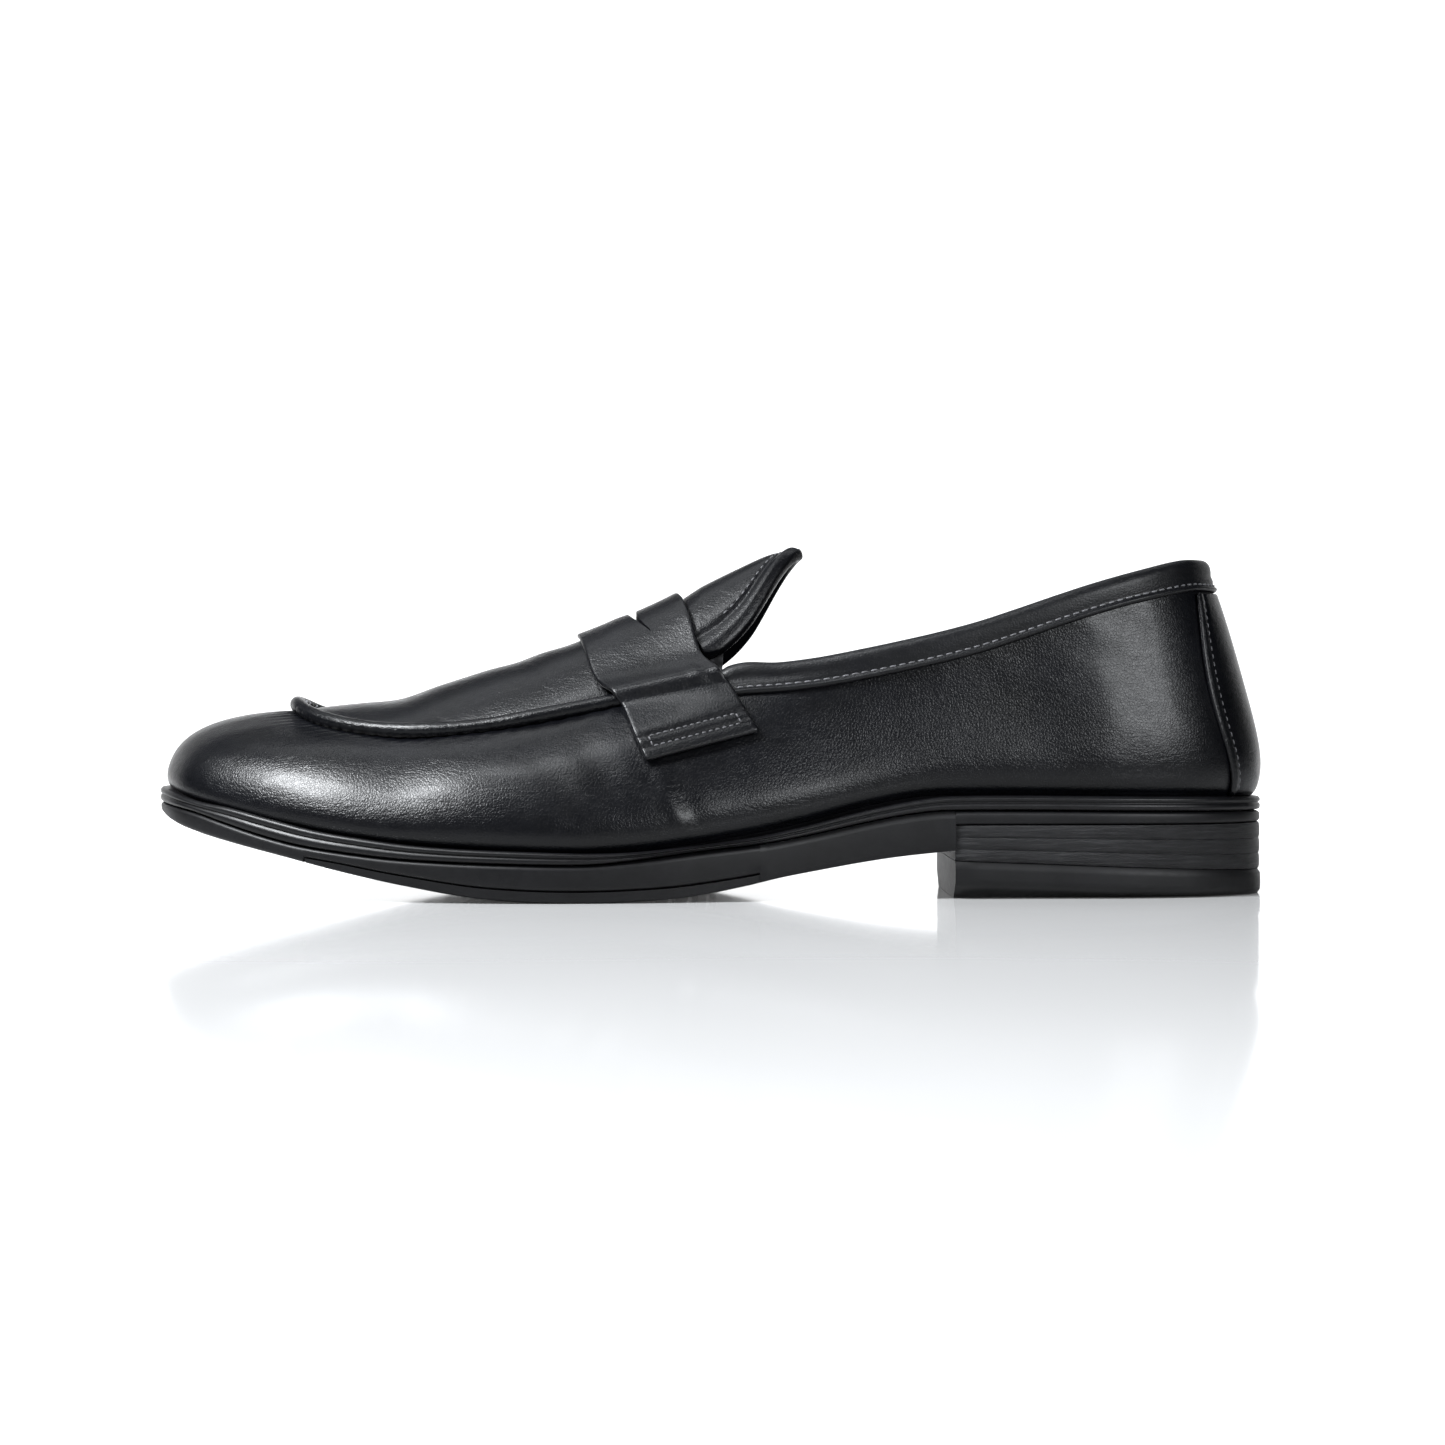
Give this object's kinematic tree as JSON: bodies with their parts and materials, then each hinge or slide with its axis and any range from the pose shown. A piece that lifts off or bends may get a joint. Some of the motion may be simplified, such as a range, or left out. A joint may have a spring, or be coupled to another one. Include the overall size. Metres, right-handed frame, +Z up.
{
  "type": "penny loafer",
  "caption": "Slip-on leather shoe with a raised apron seam, slotted saddle strap, padded tongue, ridged welt and stacked low heel.",
  "frame": {"origin": "centre of the bounding box at floor level", "axes": "+X from toe to heel, +Y to the medial side, +Z up; left shoe"},
  "size_m": [0.3004, 0.107, 0.0937],
  "materials": {
    "outsole_rubber": "satin moulded",
    "welt_rubber": "satin, ridged",
    "stacked_heel": "black stained layers with fine grain",
    "heel_rubber": "matt moulded",
    "nail_steel": "bright wire",
    "cork": "granular",
    "shank_steel": "rolled",
    "fibre_board": "matt pressed",
    "foam": "open cell",
    "lining_leather": "matt",
    "polished_leather": "polished, fine grain",
    "stiffener": "matt sheet",
    "suede": "napped",
    "collar_leather": "semi-gloss",
    "lining_fabric": "woven twill",
    "strap_leather": "polished, fine grain",
    "tongue_leather": "polished, fine grain",
    "elastic": "ribbed elastic"
  },
  "bodies": {
    "shoe": {"outsole": "outsole_rubber", "tread_plate": "outsole_rubber", "welt": "welt_rubber", "heel_lift_upper": "stacked_heel", "heel_lift_middle": "stacked_heel", "heel_lift_lower": "stacked_heel", "heel_top_piece": "heel_rubber", "heel_nails": "nail_steel", "cork_filler": "cork", "shank": "shank_steel", "shank_rivets": "nail_steel", "insole_board": "fibre_board", "heel_pad": "foam", "sock_lining": "lining_leather", "side_wall": "polished_leather", "side_lining": "lining_leather", "toe_puff": "stiffener", "heel_counter": "stiffener", "collar_padding": "foam", "heel_grip": "suede", "collar_band": "collar_leather", "collar_piping": "collar_leather", "back_strip": "polished_leather", "apron_lip": "polished_leather", "apron": "polished_leather", "apron_lining": "lining_fabric", "saddle_strap": "strap_leather", "elastic_gore_lateral": "elastic", "elastic_gore_medial": "elastic"},
    "tongue": {"tongue": "tongue_leather", "tongue_padding": "foam", "tongue_lining": "lining_leather"}
  },
  "joints": [
    {"name": "tongue_flex", "type": "hinge", "parent": "shoe", "child": "tongue", "pos_m": [-0.0085, 0, 0.0785], "axis": [0, -1, 0], "range_deg": [-3, 14], "stiffness_Nm_per_rad": 0.02, "deforming": ["elastic_gore_lateral", "elastic_gore_medial"]}
  ]
}
